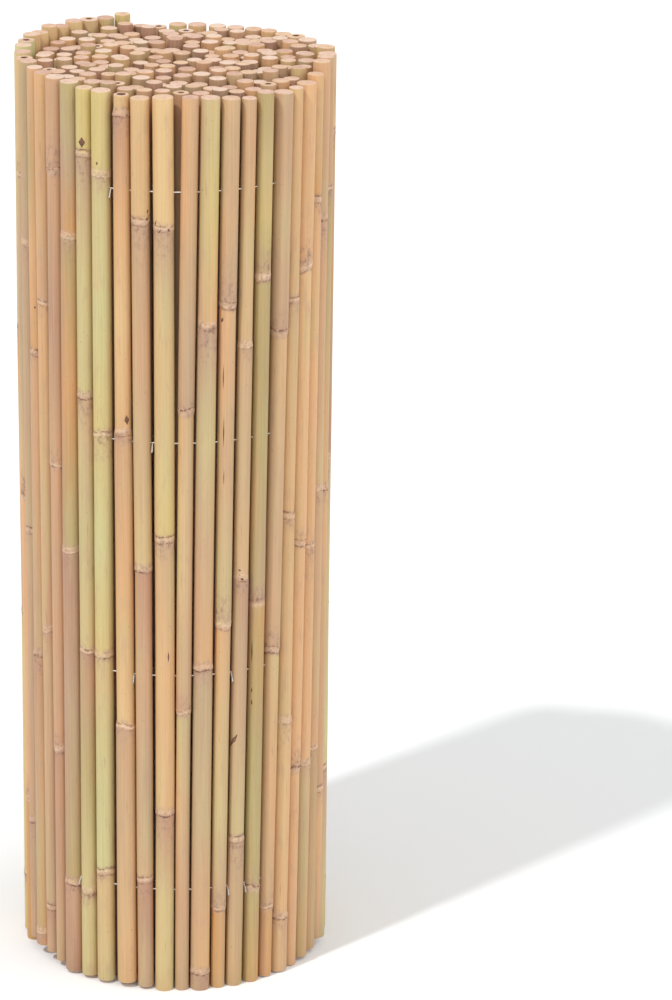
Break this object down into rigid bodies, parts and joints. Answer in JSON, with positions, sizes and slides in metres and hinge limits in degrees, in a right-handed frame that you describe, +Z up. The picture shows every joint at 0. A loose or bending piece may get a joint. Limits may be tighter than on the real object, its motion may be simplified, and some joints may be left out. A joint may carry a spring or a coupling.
{
  "type": "bamboo fence panel",
  "caption": "Fence panel of thin bamboo canes threaded on galvanised wires, wound into a roll that stands on end, to be unrolled as a garden fence or screen.",
  "frame": {"origin": "centre of the roll's bounding box, on the floor that it stands on", "axes": "+Z up along the canes; the front faces -Y; the free edge of the panel is at the back, +Y"},
  "size_m": [0.3377, 0.3468, 1.012],
  "materials": {
    "bamboo": "satin",
    "wire": "satin"
  },
  "bodies": {
    "root": {"cane_01": "bamboo", "cane_02": "bamboo", "cane_03": "bamboo", "cane_04": "bamboo", "cane_05": "bamboo", "cane_06": "bamboo", "cane_07": "bamboo", "cane_08": "bamboo", "cane_09": "bamboo", "cane_10": "bamboo", "cane_11": "bamboo", "cane_12": "bamboo", "cane_13": "bamboo", "cane_14": "bamboo", "cane_15": "bamboo", "cane_16": "bamboo", "cane_17": "bamboo", "cane_18": "bamboo", "cane_19": "bamboo", "cane_20": "bamboo", "cane_21": "bamboo", "cane_22": "bamboo", "cane_23": "bamboo", "cane_24": "bamboo", "cane_25": "bamboo", "cane_26": "bamboo", "cane_27": "bamboo", "cane_28": "bamboo", "cane_29": "bamboo", "cane_30": "bamboo", "cane_31": "bamboo", "cane_32": "bamboo", "cane_33": "bamboo", "cane_34": "bamboo", "cane_35": "bamboo", "cane_36": "bamboo", "cane_37": "bamboo", "cane_38": "bamboo", "cane_39": "bamboo", "cane_40": "bamboo", "cane_41": "bamboo", "cane_42": "bamboo", "cane_43": "bamboo", "cane_44": "bamboo", "cane_45": "bamboo", "cane_46": "bamboo", "cane_47": "bamboo", "cane_48": "bamboo", "turn_2_canes": "bamboo", "turn_3_canes": "bamboo", "turn_4_canes": "bamboo", "turn_5_canes": "bamboo", "turn_6_canes": "bamboo", "turn_7_canes": "bamboo", "wire_1": "wire", "wire_2": "wire", "wire_3": "wire", "wire_4": "wire"}
  },
  "joints": []
}
